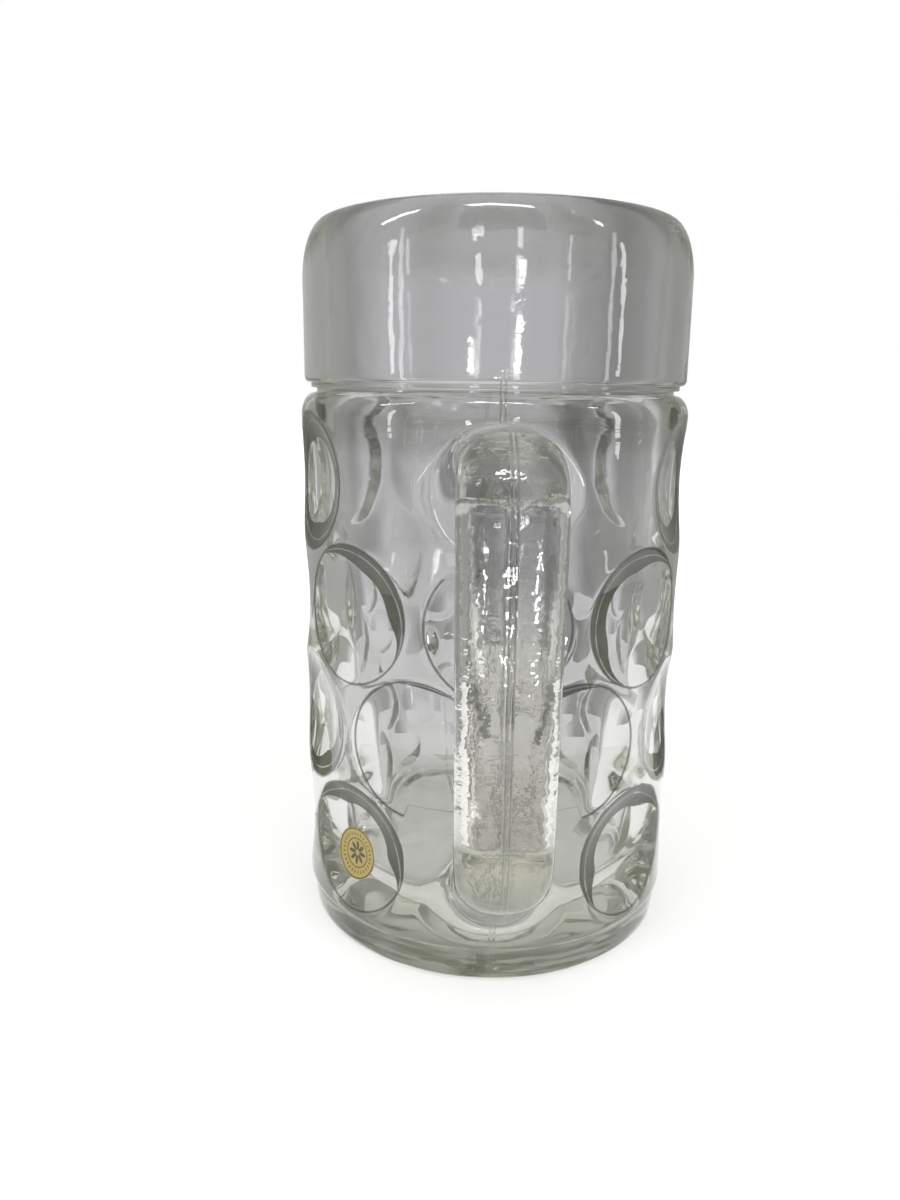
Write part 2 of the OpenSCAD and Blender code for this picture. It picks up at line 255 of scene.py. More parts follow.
class BodyForm:
    """The vessel's outline and its dimples, worked out from the sizes."""

    def __init__(self, s):
        self.s = s
        self.band_r = s.band_diameter / 2
        self.mouth_r = self.band_r - s.band_wall
        self.ledge_r = self.band_r - s.ledge_step
        self.groove_r = self.band_r - s.groove_depth
        self.wall_top_r = s.wall_top_diameter / 2
        self.wall_low_r = s.wall_low_diameter / 2
        self.cavity_top_r = self.wall_top_r - s.wall_top_thickness
        self.cavity_low_r = self.wall_low_r - s.wall_low_thickness
        self.heel_r = self.wall_low_r - s.heel_step
        self.foot_r = s.foot_diameter / 2
        self.foot_ring_r = self.foot_r - s.foot_edge - s.foot_ring
        self.band_low_z = s.height - s.band_height
        self.ledge_low_z = self.band_low_z - s.ledge_height
        self.groove_low_z = self.ledge_low_z - s.groove_height
        self.shoulder_z = self.groove_low_z - s.shoulder_height
        self.wall_low_z = s.heel_height + s.heel_step
        self.dimpled_from_z = s.heel_height * 0.5
        self.place_dimples()
        self.outline = self.make_outline()

    def wall_r(self, z):
        """Radius of the plain wall, a straight taper from above the heel to the shoulder."""
        rise = (z - self.wall_low_z) / (self.shoulder_z - self.wall_low_z)
        return self.wall_low_r + (self.wall_top_r - self.wall_low_r) * rise

    def place_dimples(self):
        """Rows evenly between the bottom and the top one, every second row turned half a step.
        The outer rows leave out the places that the handle's roots take. A dimple is as deep as
        a face that is flat across its width, and dimple_bow more."""
        s = self.s
        row, place = np.meshgrid(np.arange(s.dimple_rows), np.arange(s.dimples_per_row), indexing="ij")
        row, place = row.ravel(), place.ravel()
        self.low_row_z = s.heel_height + s.bottom_row_rise
        high_row_z = self.shoulder_z - s.top_row_drop
        z = self.low_row_z + (high_row_z - self.low_row_z) * row / (s.dimple_rows - 1)
        turn = half_turned((place + (row % 2) / 2) * TAU / s.dimples_per_row)
        outer_row = (row == 0) | (row == s.dimple_rows - 1)
        root_width = bpy.context.scene.mug_handle.root_width
        taken = outer_row & (np.abs(turn) * self.wall_r(z) < (root_width + s.dimple_width) / 2)
        self.turn, self.dimple_z = turn[~taken], z[~taken]
        r = self.wall_r(self.dimple_z)
        self.depth = r - np.sqrt(r**2 - s.dimple_width**2 / 4) + s.dimple_bow
        self.floor_r = r - self.depth
        self.hollow_r = (s.dimple_height**2 / 4 + self.depth**2) / (2 * self.depth)
        self.across_r = (s.dimple_width**2 / 4 + s.dimple_bow**2) / (2 * s.dimple_bow)

    def dimpled(self, theta, z, plain):
        """Radius of the outside at a turn and height. Each dimple's floor is part of a ring
        surface, hollow with one radius along the wall and a larger one across it. At a height dz
        from its middle it is a circle of radius reach = across - hollow + sqrt(hollow^2 - dz^2)
        about a point `centre` from the axis, so that the distance from the axis at a turn a is
        centre cos a - sqrt(reach^2 - (centre sin a)^2). The wall is the soft least of the plain
        radius and all floors, -k log(sum(exp(-r/k))), so that the ridges are rounded. A floor
        counts only near its own dimple, within a turn and a share of its hollow radius."""
        near_turn, near_rise, far_off = 0.6, 0.9, 1.0
        k = self.s.ridge_softness
        theta, z, plain = np.broadcast_arrays(theta, z, plain)
        off = half_turned(theta[..., None] - self.turn)
        rise = z[..., None] - self.dimple_z
        near = (np.abs(off) < near_turn) & (np.abs(rise) < near_rise * self.hollow_r)
        off, rise = np.where(near, off, 0), np.where(near, rise, 0)
        centre = self.floor_r + self.across_r
        reach = self.across_r - self.hollow_r + np.sqrt(self.hollow_r**2 - rise**2)
        floor = centre * np.cos(off) - np.sqrt(np.maximum(reach**2 - (centre * np.sin(off)) ** 2, 0))
        floor = np.where(near, floor, far_off)
        least = np.minimum(plain, floor.min(-1))
        total = np.exp((least - plain) / k) + np.exp((least[..., None] - floor) / k).sum(-1)
        return least - k * np.log(total)

    def from_edge(self, theta, z):
        """How far a place on the wall lies inside the nearest dimple's oval edge, in millimetres,
        and below 0 outside it: 1 less its distance from the dimple's middle as a share of the
        oval's, times the mean half width. With it, the way that the dimple's steep bank faces
        there: the wall's own direction out, leant by bank_slope towards the dimple's middle, and
        up_lean times as far up and down, where the banks are steeper."""
        s = self.s
        near_turn, out_of_reach, up_lean, tiny = 0.8, 9, 1.15, 1e-9
        off = half_turned(theta[..., None] - self.turn)
        across = np.sin(off) * self.wall_r(self.dimple_z)
        along = z[..., None] - self.dimple_z
        away = np.hypot(across / (s.dimple_width / 2), along / (s.dimple_height / 2))
        away = np.where(np.abs(off) < near_turn, away, out_of_reach)
        nearest = away.argmin(-1)[..., None]
        away, across, along = (np.take_along_axis(v, nearest, -1)[..., 0] for v in (away, across, along))
        out = np.cos(s.bank_slope)
        lean = np.sin(s.bank_slope) / np.maximum(np.hypot(across, along), tiny)
        side, up = -lean * across, -up_lean * lean * along
        sine, cosine = np.sin(theta), np.cos(theta)
        bank = np.stack([out * sine + side * cosine, side * sine - out * cosine, up], -1)
        half_width = (s.dimple_width + s.dimple_height) / 4 / MM
        return (1 - away) * half_width, unit(bank)

    def make_outline(self):
        """The closed half section, from the middle of the underside round the outside and the
        lip to the middle of the cavity's floor, as radius and height. Each row is a corner and
        how far before and after it the corner is eased."""
        s = self.s
        ring_edge, heel_edge, wall_ease = 0.8 * MM, 0.4 * MM, 1.2 * MM
        groove_corner, groove_edge, ledge_corner, ledge_edge = 0.5 * MM, 0.4 * MM, 0.45 * MM, 0.35 * MM
        hair, inner_ease, nearly_all = 0.01 * MM, 4 * MM, 0.999
        half_ring = self.foot_ring_r / 2
        punt_slope = np.hypot(half_ring, s.punt)
        shoulder_out = self.wall_top_r - self.groove_r - groove_corner
        rows = [
            (0, s.punt, 0, 0),
            (half_ring, s.punt, half_ring * nearly_all, punt_slope - ring_edge),
            (self.foot_ring_r, 0, ring_edge, ring_edge),
            (self.foot_r, 0, s.foot_edge, s.foot_edge),
            (self.heel_r, s.heel_height, ring_edge, heel_edge),
            (self.wall_low_r, self.wall_low_z, heel_edge, wall_ease),
            (self.wall_top_r, self.groove_low_z, s.shoulder_height, shoulder_out),
            (self.groove_r, self.groove_low_z, groove_corner, groove_corner),
            (self.groove_r, self.ledge_low_z, groove_edge, groove_edge),
            (self.ledge_r, self.ledge_low_z, ledge_corner, ledge_corner),
            (self.ledge_r, self.band_low_z, ledge_edge, ledge_edge),
            (self.band_r, self.band_low_z, s.ledge_step - ledge_edge - hair, s.band_edge),
            (self.band_r, s.height, s.lip_round, s.band_wall - s.lip_inner),
            (self.mouth_r, s.height, s.lip_inner, s.lip_inner),
            (self.mouth_r, self.groove_low_z, inner_ease, inner_ease),
            (self.cavity_top_r, self.shoulder_z - s.shoulder_height, inner_ease, inner_ease),
            (self.cavity_low_r, s.base_thickness, s.cavity_corner, s.cavity_corner),
            (0, s.base_thickness, 0, 0),
        ]
        rows = np.array(rows)
        path = eased_path(rows[:, :2], rows[1:-1, 2], rows[1:-1, 3])
        inner_limit = self.cavity_top_r + 2 * MM
        wall_step, outer_step, inner_step = 1.05 * MM, 3 * MM, 5 * MM

        def spacing(p):
            outer = p[:, 0] > inner_limit
            wall = outer & (p[:, 1] > s.heel_height) & (p[:, 1] < self.groove_low_z)
            return np.where(wall, wall_step, np.where(outer, outer_step, inner_step))

        return spread(path, spacing, np.radians(11))


def on_body(form, theta, z):
    """Points of the outside wall between the heel and the groove, at a turn and height."""
    r, h = form.outline.T
    wall = slice(np.argmax(h > form.dimpled_from_z), np.argmax(h))
    r, h = r[wall], h[wall]
    climbing = np.r_[True, np.diff(h) > 0.0001 * MM]
    plain = np.interp(z, h[climbing], r[climbing])
    radius = form.dimpled(theta, z, plain)
    return np.stack([radius * np.sin(theta), -radius * np.cos(theta), z + 0 * theta], -1)


class HandleForm:
    """The handle's middle line and its rounded section, worked out from the sizes. A place on the
    middle line is u out from the axis and z up."""

    def __init__(self, form, h):
        self.h = h
        buried, steps = 2 * MM, 6001
        half = h.thickness / 2
        self.upper_z = form.shoulder_z - h.upper_arm_drop
        self.lower_z = form.s.heel_height + h.lower_arm_rise
        self.upper_wall = form.wall_r(self.upper_z)
        self.lower_wall = form.wall_r(self.lower_z)
        grip_u = self.upper_wall + h.finger_gap + half
        self.side_u = np.sqrt(self.lower_wall**2 - h.root_width**2 / 4)
        start_u = self.side_u - half - buried
        bend_u = grip_u - h.bend
        slope = h.lower_arm_slope
        turn = np.pi / 2 - slope
        low_arm_rise = (grip_u - self.lower_wall) * np.tan(slope) + h.bend * np.tan(turn / 2)
        self.upper_bend_z = self.upper_z - h.bend
        self.lower_bend_z = self.lower_z + low_arm_rise
        low_u = bend_u + h.bend * np.cos(turn)
        pieces = [
            bend_u - start_u,
            h.bend * np.pi / 2,
            self.upper_bend_z - self.lower_bend_z,
            h.bend * turn,
            (low_u - start_u) / np.cos(slope),
        ]
        self.knots = np.r_[0, np.cumsum(pieces)]
        self.headings = np.array([0, 0, -np.pi / 2, -np.pi / 2, -np.pi / 2 - turn, -np.pi / 2 - turn])
        self.long = self.knots[-1]
        self.at = np.linspace(0, self.long, steps)
        heading = np.interp(self.at, self.knots, self.headings)
        step = self.at[1]
        cosine, sine = np.cos(heading), np.sin(heading)
        self.u = start_u + np.r_[0, np.cumsum((cosine[1:] + cosine[:-1]) / 2 * step)]
        self.z = self.upper_z + np.r_[0, np.cumsum((sine[1:] + sine[:-1]) / 2 * step)]

    def flare(self, u, wall_u):
        """Nearness to the wall, cubed: 0 from the flare's start outwards and 1 at the wall."""
        return np.clip(1 - (u - wall_u) / self.h.flare, 0, 1) ** 3

    def surface(self, along, beta):
        """Points of the handle. The middle line is straight but for two round bends. The section
        across it is a rounded oblong, |x/a|^n + |y/b|^n = 1, with beta the direction from its
        middle. Towards each root its width, and its edges up and down the wall, grow by the cube
        of the nearness to the wall."""
        h = self.h
        along, beta = np.broadcast_arrays(along, beta)
        u = np.interp(along, self.at, self.u)
        z = np.interp(along, self.at, self.z)
        heading = np.interp(along, self.knots, self.headings)
        out_u, out_z = -np.sin(heading) * h.thickness / 2, np.cos(heading) * h.thickness / 2
        upper = along < self.knots[2]
        outer_u, outer_z, inner_u, inner_z = u + out_u, z + out_z, u - out_u, z - out_z
        outer_z = outer_z - np.where(upper, 0, h.lower_root_drop * self.flare(outer_u, self.lower_wall))
        inner_z = inner_z - np.where(upper, h.upper_root_drop * self.flare(inner_u, self.upper_wall), 0)
        inner_z = inner_z + np.where(upper, 0, h.lower_root_rise * self.flare(inner_u, self.lower_wall))
        down = np.clip((self.upper_bend_z - z) / (self.upper_bend_z - self.lower_bend_z), 0, 1)
        plain = h.grip_width + (h.grip_low_width - h.grip_width) * down
        near = self.flare(u, self.side_u)
        half = (plain + (h.root_width - plain) * near) / 2
        n = h.grip_squareness + (h.root_squareness - h.grip_squareness) * near
        c, d = np.cos(beta), np.sin(beta)
        reach = (np.abs(c) ** n + np.abs(d) ** n) ** (-1 / n)
        c, d = c * reach, d * reach
        mid_u, mid_z = (outer_u + inner_u) / 2, (outer_z + inner_z) / 2
        out = mid_u + (outer_u - inner_u) / 2 * d
        return np.stack([half * c, -out, mid_z + (outer_z - inner_z) / 2 * d], -1)

    def meets(self, form, beta, lower):
        """Length along the middle line at which each direction of the section comes out of the
        body's wall: where its distance from the axis first stays above the wall's."""
        root_reach, steps = 30 * MM, 500
        along = np.linspace(0, root_reach, steps)[:, None]
        along = self.long - along if lower else along
        p = self.surface(along, beta[None, :])
        wall = on_body(form, bearing(p), np.clip(p[..., 2], form.wall_low_z, form.groove_low_z))
        gap = np.hypot(p[..., 0], p[..., 1]) - np.hypot(wall[..., 0], wall[..., 1])
        last = steps - 1 - np.argmax(gap[::-1] < 0, axis=0)
        last = np.minimum(last, steps - 2)
        column = np.arange(len(beta))
        before, after = gap[last, column], gap[last + 1, column]
        part = np.clip(-before / (after - before), 0, 1)
        along = along[:, 0]
        return along[last] + (along[last + 1] - along[last]) * part


def grid_triangles(rows, columns, closed=True):
    """Vertex numbers of the triangles of a grid of rows, each a loop of columns if closed."""
    i = np.arange(columns if closed else columns - 1)
    j = np.arange(rows - 1)[:, None]
    a, b = j * columns + i, j * columns + (i + 1) % columns
    c, d = b + columns, a + columns
    return np.stack([np.stack([a, b, c], -1), np.stack([a, c, d], -1)], 2)


def pole_triangles(pole, ring, inward):
    """Triangles from a pole to a closed ring of vertex numbers, one way round or the other."""
    following = np.roll(ring, -1)
    near, far = (following, ring) if inward else (ring, following)
    return np.stack([np.full(len(ring), pole), near, far], 1)


class RootWindow:
    """The window in the body's grid that one root of the handle fills: the grid points round it in
    the order of the section's directions, and the direction `beta` that each stands for. The
    lower window runs the other way up, as the handle has turned over there."""

    def __init__(self, z, wall_rows, middle_z, lower):
        foot_margin = 4
        middle = wall_rows[np.argmin(np.abs(z[wall_rows] - middle_z))]
        low = middle - WINDOW_ROWS // 2
        low = max(low, wall_rows[0] + foot_margin) if lower else min(low, wall_rows[-1] - WINDOW_ROWS)
        self.low, high = low, low + WINDOW_ROWS
        across, up = np.arange(-WINDOW_HALF, WINDOW_HALF), np.arange(low, high)
        bottom, top = (high, low) if lower else (low, high)
        rise = up[::-1] + 1 if lower else up
        fall = up if lower else up[::-1] + 1
        rows = np.r_[np.full(2 * WINDOW_HALF, bottom), rise, np.full(2 * WINDOW_HALF, top), fall]
        columns = np.r_[across, np.full(len(up), WINDOW_HALF), -across, np.full(len(up), -WINDOW_HALF)]
        self.numbers = rows * COLUMNS + columns % COLUMNS
        self.turn = half_turned(columns % COLUMNS * TAU / COLUMNS)
        self.height = z[rows]
        upright = (rows - (low + WINDOW_ROWS / 2)) / (WINDOW_ROWS / 2) * (-1 if lower else 1)
        self.beta = np.arctan2(upright, columns / WINDOW_HALF)

    def cells(self, row_count):
        """Which cells of the body's grid the window takes."""
        rows, columns = np.arange(row_count - 1), np.arange(COLUMNS)
        in_rows = (rows >= self.low) & (rows < self.low + WINDOW_ROWS)
        return in_rows[:, None] & ((columns + WINDOW_HALF) % COLUMNS < 2 * WINDOW_HALF)

    def patch(self, form, edge):
        """Rings of wall points from the window to the line where the handle meets the wall, closer
        together towards that line by 1 - (1 - t)^1.4."""
        part = np.linspace(0, 1, PATCH_RINGS + 1)[1:-1, None]
        part = 1 - (1 - part) ** 1.4
        turn = self.turn + (bearing(edge) - self.turn) * part
        return on_body(form, turn, self.height + (edge[:, 2] - self.height) * part)


def eased_junction(tube, reach=4, rounds=6):
    """Rounds the corner between wall and handle: rings near it move to the mean of themselves and
    their neighbours, (before + 2 own + after) / 4, less and less away from the corner."""
    near = np.clip(1 - np.abs(np.arange(len(tube)) - PATCH_RINGS) / reach, 0, 1)
    near[0] = near[-1] = 0
    for _ in range(rounds):
        mean = tube.copy()
        mean[1:-1] = (tube[:-2] + 2 * tube[1:-1] + tube[2:]) / 4
        tube = tube + (mean - tube) * near[:, None, None]
    return tube


def handle_tube(form, handle, windows, edges):
    """Rings from the upper window's edge over the wall, along the handle from one root to the other
    and over the wall to the lower window's edge. The rings on the handle are evenly spaced
    between the roots, and near each root they are pulled to the line where it meets the wall,
    by the square of the nearness."""
    ring_step, pull_reach = 1.4 * MM, 0.14
    beta = windows[1].beta
    start, stop = handle.meets(form, beta, False), handle.meets(form, beta, True)
    t = np.linspace(0, 1, int(np.ceil(handle.long / ring_step)))

    def pull(x):
        return np.clip(1 - x / pull_reach, 0, 1)[:, None] ** 2

    along = (start.max() + (stop.min() - start.max()) * t)[:, None]
    along = along + (start - start.max()) * pull(t) + (stop - stop.min()) * pull(1 - t)
    tube = handle.surface(along, beta[None, :])
    upper, lower = (window.patch(form, edge) for window, edge in zip(windows, (tube[0], tube[-1])))
    tube = np.concatenate([edges[0][None], upper, tube, lower[::-1], edges[1][None]])
    tube = eased_junction(tube)
    return eased_junction(tube[::-1])[::-1]


def body_grid(form):
    """The outline turned round the axis, with the radius of its outer wall dimpled: its points, row
    after row, the height of each row, and which rows are before the lip and which are dimpled."""
    r, z = form.outline[1:-1].T
    theta = np.arange(COLUMNS) * TAU / COLUMNS
    before_lip = np.arange(len(z)) < np.argmax(z)
    below_groove = z <= form.groove_low_z + 0.01 * MM
    walled = before_lip & (r > form.cavity_top_r) & (z > form.dimpled_from_z) & below_groove
    radius = np.repeat(r[:, None], COLUMNS, 1)
    radius[walled] = form.dimpled(theta[None, :], z[walled][:, None], radius[walled])
    height = np.repeat(z[:, None], COLUMNS, 1)
    points = np.stack([radius * np.sin(theta), -radius * np.cos(theta), height], -1)
    return points.reshape(-1, 3), z, before_lip, walled


def glass_marks(form, points, before_lip, walled, tube):
    """Four marks for each vertex: how far it is on the handle, whether it is outside, how far it
    lies inside a dimple's edge, and the way that the dimple's bank faces. The first grows from
    0 to 1 over the ten rings that follow the ten next to each root."""
    blend_rings, nowhere = 10, -9.0
    body_count = len(walled) * COLUMNS
    ring = np.arange(len(tube) - 2)
    from_root = np.minimum(ring, ring[::-1])
    on_handle = np.zeros(len(points))
    tube_part = np.repeat(np.clip(from_root / blend_rings - 1, 0, 1), tube.shape[1])
    on_handle[body_count : body_count + len(tube_part)] = tube_part
    outside = np.ones(len(points))
    outside[:body_count] = np.repeat(before_lip * 1.0, COLUMNS)
    outside[-1] = 0
    in_dimple = np.full(len(points), nowhere)
    bank = points * [1.0, 1.0, 0.0]
    dimpled = np.flatnonzero(np.repeat(walled, COLUMNS))
    distance, facing = form.from_edge(bearing(points[dimpled]), points[dimpled, 2])
    in_dimple[dimpled] = np.maximum(distance, nowhere)
    bank[dimpled] = facing
    return {"on_handle": on_handle, "outside": outside, "in_dimple": in_dimple, "bank": bank}


def glass_surface(form, handle):
    """The whole glass as one closed surface, and the marks of its vertices. Two windows in the
    body's grid are filled by the handle's tube, so that no wall of glass lies inside the
    handle's roots, and a pole closes the grid under the foot and in the cavity."""
    body, z, before_lip, walled = body_grid(form)
    wall_rows = np.flatnonzero(walled)
    upper_z = handle.upper_z - handle.h.upper_root_drop / 2
    windows = [RootWindow(z, wall_rows, upper_z, False), RootWindow(z, wall_rows, handle.lower_z, True)]
    tube = handle_tube(form, handle, windows, [body[window.numbers] for window in windows])
    inner = tube[1:-1].reshape(-1, 3)
    poles = [[0, 0, form.outline[0, 1]], [0, 0, form.outline[-1, 1]]]
    points = np.concatenate([body, inner, poles])

    numbers = [windows[0].numbers, len(body) + np.arange(len(inner)), windows[1].numbers]
    taken = windows[0].cells(len(z)) | windows[1].cells(len(z))
    first_row = np.arange(COLUMNS)
    last_row = len(body) - COLUMNS + first_row
    faces = np.concatenate(
        [
            grid_triangles(len(z), COLUMNS)[~taken].reshape(-1, 3),
            np.concatenate(numbers)[grid_triangles(*tube.shape[:2])].reshape(-1, 3),
            pole_triangles(len(points) - 2, first_row, True),
            pole_triangles(len(points) - 1, last_row, False),
        ]
    )
    marks = glass_marks(form, points, before_lip, walled, tube)
    used = np.unique(faces)
    place = np.zeros(len(points), int)
    place[used] = np.arange(len(used))
    return points[used], place[faces], {name: values[used] for name, values in marks.items()}


def disc_profile(radius, thickness, sunk, rings=14, edge_steps=4):
    """Half section of a thin disc, from beside the middle of its top round its rounded edge to the
    middle of its underside, as radius and lift above the glass."""
    edge = thickness * 0.5
    part = np.linspace(0, 1, rings)[1:]
    bow = np.linspace(0, np.pi / 2, edge_steps)[1:]
    r = np.r_[(radius - edge) * part, radius - edge + edge * np.sin(bow), radius, radius * part[::-1]]
    top, under = np.full(len(part), thickness), np.full(len(part), -sunk)
    lift = np.r_[top, thickness - edge + edge * np.cos(bow), -sunk, under]
    moved = np.r_[True, np.abs(np.diff(r)) + np.abs(np.diff(lift)) > 1e-6 * MM]
    return r[moved], lift[moved]


def label_surface(form, label, columns=96, sunk=0.06 * MM):
    """The label as a closed thin disc that follows its dimple's floor: its profile turned round the
    label's middle, with the underside just in the glass. The floor is the ring surface of
    `BodyForm.dimpled`, with its hollow radius made less by the lift above the glass, at a place
    `side` and `high` from the dimple's middle. Also gives each point's place on the foil, from 0
    to 1 each way."""
    off_row = np.abs(form.dimple_z - form.low_row_z).round(5)
    off_turn = np.abs(form.turn + TAU / form.s.dimples_per_row)
    k = np.lexsort((off_turn, off_row))[0]
    r, lift = disc_profile(label.diameter / 2, label.thickness, sunk)
    a = np.arange(columns) * TAU / columns
    across = np.r_[(r[:, None] * np.cos(a)).ravel(), 0, 0]
    up = np.r_[(r[:, None] * np.sin(a)).ravel(), 0, 0]
    lift = np.r_[np.repeat(lift, columns), label.thickness, -sunk]
    side, high = across - label.left, up - label.drop
    hollow = form.hollow_r[k]
    reach = form.across_r - hollow + np.sqrt((hollow - lift) ** 2 - high**2)
    out = form.floor_r[k] + form.across_r - np.sqrt(reach**2 - side**2)
    c, d = np.cos(form.turn[k]), np.sin(form.turn[k])
    points = np.stack([side * c + out * d, side * d - out * c, form.dimple_z[k] + high], -1)
    first = np.arange(columns)
    faces = [
        grid_triangles(len(r), columns).reshape(-1, 3)[:, ::-1],
        pole_triangles(len(points) - 2, first, False),
        pole_triangles(len(points) - 1, (len(r) - 1) * columns + first, True),
    ]
    on_foil = np.stack([across, up], -1) / label.diameter + 0.5
    return points, np.concatenate(faces), on_foil


# Objects and materials in Blender


def add_piece(name, points, triangles):
    """A smooth mesh object at the origin from whole arrays of points and triangles."""
    mesh = bpy.data.meshes.new(name)
    mesh.vertices.add(len(points))
    mesh.vertices.foreach_set("co", np.asarray(points, np.float32).ravel())
    mesh.loops.add(triangles.size)
    mesh.loops.foreach_set("vertex_index", triangles.astype(np.int32).ravel())
    mesh.polygons.add(len(triangles))
    mesh.polygons.foreach_set("loop_start", np.arange(0, triangles.size, 3, dtype=np.int32))
    mesh.update(calc_edges=True)
    mesh.validate()
    mesh.shade_smooth()
    piece = bpy.data.objects.new(name, mesh)
    bpy.context.scene.collection.objects.link(piece)
    return piece


def add_attribute(piece, name, values):
    """A number or a vector for each vertex, for a material to read."""
    kind, field = ("FLOAT", "value") if values.ndim == 1 else ("FLOAT_VECTOR", "vector")
    attribute = piece.data.attributes.new(name, kind, "POINT")
    attribute.data.foreach_set(field, values.astype(np.float32).ravel())


class Number:
    """A number that a node gives, so that sums and products in a material read as such."""

    def __init__(self, nodes, socket):
        self.nodes = nodes
        self.socket = socket

    def __add__(self, other):
        return self.nodes.math("ADD", self, other)

    def __sub__(self, other):
        return self.nodes.math("SUBTRACT", self, other)

    def __rsub__(self, other):
        return self.nodes.math("SUBTRACT", other, self)

    def __mul__(self, other):
        return self.nodes.math("MULTIPLY", self, other)

    def __abs__(self):
        return self.nodes.math("ABSOLUTE", self)


class Nodes:
    """Short calls to build a node tree."""

    def __init__(self, owner):
        owner.use_nodes = True
        self.tree = owner.node_tree
        self.tree.nodes.clear()

    def add(self, kind, inputs=(), **settings):
        """A node of a kind, with its settings, and a value or a link for each socket named."""
        node = self.tree.nodes.new(kind)
        for name, value in settings.items():
            setattr(node, name, value)
        for socket, value in dict(inputs).items():
            target = node.inputs[socket]
            if isinstance(value, Number):
                value = value.socket
            if isinstance(value, bpy.types.NodeSocket):
                self.tree.links.new(value, target)
            else:
                target.default_value = value
        return node

    def shade(self, kind, **inputs):
        """The output of a shader node. Sockets are named with _ for a space."""
        return self.add(kind, {name.replace("_", " "): value for name, value in inputs.items()}).outputs[0]

    def math(self, operation, *values, clamp=False):
        node = self.add("ShaderNodeMath", dict(enumerate(values)), operation=operation, use_clamp=clamp)
        return Number(self, node.outputs[0])

    def greatest(self, first, *others):
        for other in others:
            first = self.math("MAXIMUM", first, other)
        return first

    def blend(self, factor, first, second):
        """The colour that lies between two by a factor. Its colour sockets are numbers 6 and 7."""
        return self.add("ShaderNodeMix", {0: factor, 6: first, 7: second}, data_type="RGBA").outputs[2]

    def smooth(self, value, low, high, to_low=0.0, to_high=1.0):
        """Passes from to_low to to_high in an S-shaped curve, as the value goes from low to high."""
        limits = {"Value": value, "From Min": low, "From Max": high, "To Min": to_low, "To Max": to_high}
        node = self.add("ShaderNodeMapRange", limits, interpolation_type="SMOOTHSTEP")
        return Number(self, node.outputs["Result"])

    def passing(self, value, millimetres, *ends):
        """The same for a length, over limits that are given in millimetres."""
        low, high = millimetres
        return self.smooth(value, low * MM, high * MM, *ends)

    def noise(self, place, scale, detail=2.0, roughness=0.5):
        """Cloudy noise with `scale` lumps to a metre, or to the width of a UV map."""
        inputs = {"Vector": place, "Scale": scale, "Detail": detail, "Roughness": roughness}
        return Number(self, self.add("ShaderNodeTexNoise", inputs).outputs["Fac"])

    def split(self, vector):
        """The three numbers of a vector."""
        return [Number(self, part) for part in self.add("ShaderNodeSeparateXYZ", {"Vector": vector}).outputs]

    def mark(self, name):
        """A number that each vertex of the piece carries."""
        return Number(self, self.add("ShaderNodeAttribute", attribute_name=name).outputs["Fac"])

    def place(self):
        """A point's place on its piece, in metres."""
        return self.add("ShaderNodeTexCoord").outputs["Object"]

    def rays(self):
        """Whether the camera sees a point straight, and whether it does in or through a gloss."""
        path = self.add("ShaderNodeLightPath").outputs
        shiny = self.math("MAXIMUM", path["Is Glossy Ray"], path["Is Transmission Ray"])
        return Number(self, path["Is Camera Ray"]), shiny


def rgba(c):
    return (*c, 1.0)


class GlassSpot:
    """Where a point of the glass lies: numbers that the parts of its material share. `drawn` is a
    noise stretched to fine level lines, ten times as close upwards as round the mug."""

    def __init__(self, n, finish):
        seam_half_gap, drawn_scale = 0.55 * MM, (90.0, 90.0, 900.0)
        self.place = n.place()
        x, self.back, self.level = n.split(self.place)
        self.side = abs(x)
        self.off_seam = abs(self.side - seam_half_gap)
        self.off_shoulder = abs(self.level - finish.shoulder_level)
        self.radius = n.math("SQRT", x * x + self.back * self.back)
        self.on_handle, self.outside, self.in_dimple = map(n.mark, ("on_handle", "outside", "in_dimple"))
        self.seen_outside = 1.0 - Number(n, n.add("ShaderNodeNewGeometry").outputs["Backfacing"])
        stretched = n.add("ShaderNodeMapping", {"Vector": self.place, "Scale": drawn_scale})
        self.drawn = n.noise(stretched.outputs["Vector"], 1.0)


def pressed_ripple(n, finish, spot):
    """Bumps of the pressed surface. Their height is a slow noise, plus shares of a fast, a fine and
    a drawn one. The shares are sums of one for the handle, one for the drinking band and one for
    all places, and the fast and fine ones fade out above the foot. The height is less inside
    the mug and at the sides of the grip. Below the band the mould seam's two ridges are added."""
    above_shoulder = (6, 12)
    above_foot = (12, 40)
    shoulder_lines = (3, 7)
    foot_lines = (9, 18)
    grip_sides = (5.5, 9.5)
    ridge_width = (0, 0.35)
    tallest = 1.2 * MM
    on_band = n.passing(spot.level - finish.shoulder_level, above_shoulder)
    fade = n.passing(spot.level, above_foot)

    def ripple_share(handle, band, everywhere):
        return (spot.on_handle * handle + on_band * band + everywhere) * fade

    slow = n.noise(spot.place, 75.0, roughness=0.45)
    fast = n.noise(spot.place, 330.0) * ripple_share(handle=0.24, band=0.08, everywhere=0.05)
    fine = n.noise(spot.place, 700.0, roughness=0.6) * ripple_share(handle=0.08, band=0.05, everywhere=0.006)
    at_shoulder = n.passing(spot.off_shoulder, shoulder_lines, 0.22, 0.0)
    at_foot = n.passing(spot.level, foot_lines, 0.16, 0.0)
    drawn = spot.drawn * (spot.on_handle * 0.06 + at_shoulder + at_foot)
    strength = spot.on_handle * n.passing(spot.side, grip_sides, 1.1, 0.25) + spot.outside * 0.35 + 0.15
    ridges = n.passing(spot.off_seam, ridge_width, 0.2 * finish.seam, 0.0) * spot.outside
    height = (slow + fast + fine + drawn) * strength * finish.ripple + ridges * (1.0 - on_band)
    bump = n.add("ShaderNodeBump", {"Height": height, "Strength": 1.0, "Distance": tallest})
    return bump.outputs["Normal"]


